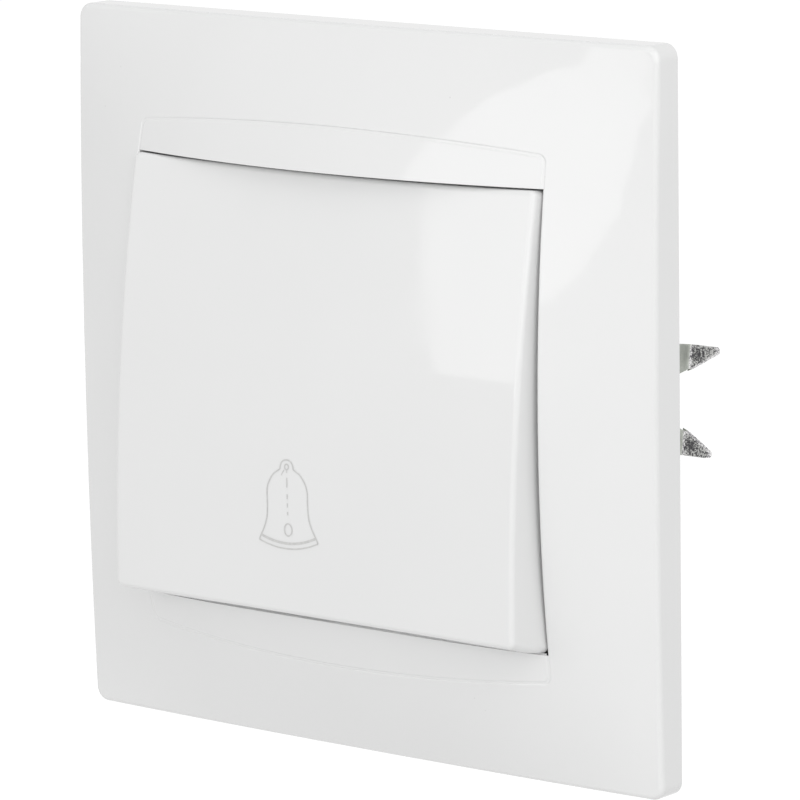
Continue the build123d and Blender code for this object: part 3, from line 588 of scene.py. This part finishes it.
def crossing(first, first_radius, second, second_radius):
    """Where two circles cross, at the crossing that lies above and to the right of the origin."""
    apart = second - first
    d = apart.length
    along = (first_radius ** 2 - second_radius ** 2 + d * d) / (2 * d)
    across = math.sqrt(first_radius ** 2 - along * along)
    way = apart / d
    aside = Vector((-way.y, way.x)) * across
    point = first + way * along + aside
    if point.x < 0.0 or point.y < 0.0:
        point = first + way * along - aside
    return point


def seam_path(start):
    """Half of an end of the window, from the side at height start to the middle, with its outward ways."""
    side, end = WINDOW_HALF_WIDTH - BEZEL_SEAM / 2, WINDOW_HALF_HEIGHT - BEZEL_SEAM / 2
    half_x, half_z = side - WINDOW_SIDE_BOW, end - WINDOW_END_BOW
    side_radius = (half_z ** 2 + WINDOW_SIDE_BOW ** 2) / (2 * WINDOW_SIDE_BOW)
    end_radius = (half_x ** 2 + WINDOW_END_BOW ** 2) / (2 * WINDOW_END_BOW)
    side_middle, end_middle = Vector((side - side_radius, 0.0)), Vector((0.0, end - end_radius))
    corner = WINDOW_CORNER_RADIUS
    corner_middle = crossing(side_middle, side_radius - corner, end_middle, end_radius - corner)
    side_turn = math.atan2(*reversed(corner_middle - side_middle))
    end_turn = math.atan2(*reversed(corner_middle - end_middle))
    side_steps, corner_steps, end_steps = 6, 12, 40
    arcs = (
        (side_middle, side_radius, math.asin(start / side_radius), side_turn, side_steps),
        (corner_middle, corner, side_turn, end_turn, corner_steps),
        (end_middle, end_radius, end_turn, math.pi / 2, end_steps),
    )
    path = []
    for middle, radius, first, last, count in arcs:
        for k in range(count + (middle is end_middle)):
            turn = first + (last - first) * k / count
            out = Vector((math.cos(turn), math.sin(turn)))
            path.append((middle + out * radius, out))
    return path


def make_ribbon(name, rows):
    """White trim that faces the front, from rows of points in millimetres."""
    mesh = bmesh.new()
    skin(mesh, [[mesh.verts.new(point * MM) for point in row] for row in rows], closed=False)
    bmesh.ops.recalc_face_normals(mesh, faces=mesh.faces)
    if sum(face.normal.y for face in mesh.faces) > 0.0:
        bmesh.ops.reverse_faces(mesh, faces=mesh.faces)
    piece = add_object(name, mesh_data(name, mesh), white_cover)
    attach(piece, "base")


def make_seam(name, start, up):
    half = seam_path(start)
    path = half + [(Vector((-p.x, p.y)), Vector((-o.x, o.y))) for p, o in reversed(half[:-1])]
    rows = []
    for point, out in path:
        row = []
        for offset in (-SEAM_HALF_WIDTH, 0.0, SEAM_HALF_WIDTH):
            x, z = point + out * offset
            row.append(Vector((x, SEAM_DEPTH - pillow_height(x, z), z * up)))
        rows.append(row)
    make_ribbon(name, rows)


make_seam("upper_seam", UPPER_SEAM_START, 1.0)
make_seam("lower_seam", LOWER_SEAM_START, -1.0)


# Lip of the lower strip in the slot under the rocker's bottom end, which is round about the pivot
def make_lip():
    half_length, steps, clearance, set_back, overlap = 27.9, 40, 0.02, 0.45, 0.05
    first_guess, rounds = 24.5, 20
    end_radius = math.hypot(ROCKER_BOTTOM_LENGTH, ROCKER_EDGE_RISE)
    slot_radius = end_radius + ROCKER_END_GAP
    rows = []
    for k in range(-steps, steps + 1):
        x = half_length * k / steps
        z = first_guess
        for _ in range(rounds):
            reach = pillow_height(x, z) - PIVOT_FRONT
            z = math.sqrt(slot_radius ** 2 - reach ** 2)
        turn = math.asin(reach / slot_radius) - set_back / end_radius
        rows.append([
            Vector((x, -PIVOT_FRONT - radius * math.sin(turn), -radius * math.cos(turn)))
            for radius in (end_radius + clearance, slot_radius + overlap)
        ])
    make_ribbon("lower_lip", rows)


make_lip()


# Threads on the claws' screws, whose heads stay as they are in the solids
def make_threaded(name, body, side):
    minor, pitch, crest_flatness, point_length, point_taper = 1.18, 0.6, 1.35, 1.0, 0.35
    sides, steps_per_pitch, seat_margin = 28, 10, 0.01
    seat, end = -(BRIDGE_THICKNESS / 2 + CLAW_SCREW_HEAD_GAP), CLAW_SCREW_DEPTH
    hole = Vector((CLAW_SCREW_OFFSET_X * side, -BRIDGE_THICKNESS / 2, CLAW_SCREW_OFFSET_Z))
    droop = math.radians(CLAW_DROOP)
    axis = Vector((0.0, math.cos(droop), -math.sin(droop)))
    across = Vector((1.0, 0.0, 0.0))
    upright = axis.cross(across)
    mesh = bmesh.new()
    mesh.from_mesh(nodes[name].data)
    shank = [v for v in mesh.verts if (v.co / MM - hole).dot(axis) > seat + seat_margin]
    bmesh.ops.delete(mesh, geom=shank, context="VERTS")
    count = round((end - seat) / pitch * steps_per_pitch)
    rows = []
    for i in range(count + 1):
        along = seat + (end - seat) * i / count
        taper = point_taper * max(0.0, 1.0 - (end - along) / point_length)
        row = []
        for j in range(sides):
            phase = (along / pitch + j / sides) % 1.0
            crest = min(1.0, crest_flatness * abs(2.0 * phase - 1.0))
            radius = minor + (CLAW_SCREW_RADIUS - minor) * crest - taper
            cos, sin = on_circle(j / sides)
            point = hole + axis * along + (across * cos + upright * sin) * radius
            row.append(mesh.verts.new(point * MM))
        rows.append(row)
    skin(mesh, rows, closed=True)
    mesh.faces.new(rows[-1])
    piece = add_object(name + "_thread", mesh_data(name + "_thread", mesh), zinc_steel)
    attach(piece, body)
    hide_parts(name)


make_threaded("left_claw_screw", "left_claw", -1)
make_threaded("right_claw_screw", "right_claw", 1)


# Return springs of round wire with closed ends, made at their rest length; they do not shorten here as the
# rocker is pressed
def make_spring(name, side):
    back, front, closed_rise, kept_length = 3.65, -3.892, 0.52, 0.8
    sides, steps_per_turn, small_turn = 10, 30, 0.01
    middle = Vector((SPRING_OFFSET_X * side, 0.0, SPRING_OFFSET_Z))
    length = back - front
    open_turns, open_length = SPRING_TURNS - 2.0, length - 2 * closed_rise

    def centre(turn):
        if turn < 1.0:
            along = closed_rise * turn
        elif turn > SPRING_TURNS - 1.0:
            along = length - closed_rise * (SPRING_TURNS - turn)
        else:
            along = closed_rise + open_length * (turn - 1.0) / open_turns
        cos, sin = on_circle(turn)
        return middle + Vector((SPRING_RADIUS * cos, back - along, SPRING_RADIUS * sin))

    mesh = bmesh.new()
    rows = []
    for i in range(round(SPRING_TURNS * steps_per_turn) + 1):
        turn = i / steps_per_turn
        ahead = centre(min(SPRING_TURNS, turn + small_turn))
        behind = centre(max(0.0, turn - small_turn))
        cos, sin = on_circle(turn)
        out = Vector((cos, 0.0, sin))
        flat = (ahead - behind).normalized().cross(out).normalized()
        row = []
        for j in range(sides):
            cos, sin = on_circle(j / sides)
            point = centre(turn) + (out * cos + flat * sin) * SPRING_WIRE_RADIUS
            row.append(mesh.verts.new(point * MM))
        rows.append(row)
    skin(mesh, rows, closed=True)
    mesh.faces.new(rows[0])
    mesh.faces.new(rows[-1])
    bmesh.ops.recalc_face_normals(mesh, faces=mesh.faces)
    piece = add_object(name + "_coil", mesh_data(name + "_coil", mesh), spring_steel)
    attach(piece, "base")
    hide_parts(name)
    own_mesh(piece)


make_spring("left_return_spring", -1)
make_spring("right_return_spring", 1)

# Pale floor, white surroundings and soft lamps in front, in metres and degrees
FLOOR_HEIGHT = -0.34
FLOOR_HALF = 12.0
FLOOR_GLOW = 0.48
WORLD_LIGHT = 0.675
WHITE = (1.0, 1.0, 1.0, 1.0)
SEEN_RAYS = ("Is Camera Ray", "Is Glossy Ray", "Is Transmission Ray")
FRONT_LAMP = {"azimuth": -13.2, "elevation": 15.0, "distance": 1.0, "glow": 1.27}
SIDE_LAMP = {"azimuth": 55.0, "elevation": 28.0, "distance": 0.5, "glow": 1.36}


def seen_rays(tree):
    """Value that is 1 for rays which show a surface to the eye, and 0 for those that light others."""
    path = tree.nodes.new("ShaderNodeLightPath")
    total = path.outputs[SEEN_RAYS[0]]
    for name in SEEN_RAYS[1:]:
        node = tree.nodes.new("ShaderNodeMath")
        node.operation = "MAXIMUM"
        tree.links.new(total, node.inputs[0])
        tree.links.new(path.outputs[name], node.inputs[1])
        total = node.outputs["Value"]
    return total


def pale_floor(name):
    s = Shader(name)
    s.set(
        Base_Color=s.two_tones(s.noise(scale=3.0, detail=2.0), (0.82, 0.82, 0.82), (0.84, 0.84, 0.84)),
        Roughness=s.spread(s.noise(scale=20.0), 0.85, 0.95),
        Specular_IOR_Level=0.0,
        Emission_Strength=s.calculate("MULTIPLY", seen_rays(s.tree), FLOOR_GLOW),
    )
    s.bsdf.inputs["Emission Color"].default_value = WHITE
    return s.material


def make_floor():
    mesh = bmesh.new()
    bmesh.ops.create_grid(mesh, x_segments=8, y_segments=8, size=FLOOR_HALF)
    bmesh.ops.translate(mesh, vec=(0.0, 0.0, FLOOR_HEIGHT), verts=mesh.verts)
    floor = add_object("floor", mesh_data("floor", mesh), pale_floor("pale_floor"))


def make_world():
    world = bpy.data.worlds.new("studio")
    world.use_nodes = True
    tree = world.node_tree
    tree.nodes.clear()
    out = tree.nodes.new("ShaderNodeOutputWorld")
    light = tree.nodes.new("ShaderNodeBackground")
    seen = tree.nodes.new("ShaderNodeBackground")
    mix = tree.nodes.new("ShaderNodeMixShader")
    light.inputs["Strength"].default_value = WORLD_LIGHT
    light.inputs["Color"].default_value = WHITE
    seen.inputs["Color"].default_value = WHITE
    tree.links.new(seen_rays(tree), mix.inputs["Fac"])
    tree.links.new(light.outputs["Background"], mix.inputs[1])
    tree.links.new(seen.outputs["Background"], mix.inputs[2])
    tree.links.new(mix.outputs["Shader"], out.inputs["Surface"])
    scene.world = world


def make_softbox(name, azimuth, elevation, distance, glow, width, height, aside=0.0, above=0.0):
    """Soft lamp that faces the object from this place, moved aside and up in its own plane."""
    way = direction(azimuth, elevation)
    data = bpy.data.lights.new(name, "AREA")
    data.shape = "RECTANGLE"
    data.size = width
    data.size_y = height
    data.energy = glow * math.pi * width * height
    lamp = bpy.data.objects.new(name, data)
    scene.collection.objects.link(lamp)
    turn = way.to_track_quat("Z", "Y").to_matrix().to_4x4()
    shift = Matrix.Translation((aside, above, 0.0))
    lamp.matrix_world = Matrix.Translation(way * distance) @ turn @ shift


make_floor()
make_world()
make_softbox("front_softbox", **FRONT_LAMP, width=0.90, height=0.30, above=-0.11)
make_softbox("upper_softbox", **FRONT_LAMP, width=0.715, height=0.22, aside=0.0925, above=0.15)
make_softbox("side_softbox", **SIDE_LAMP, width=0.50, height=0.50)
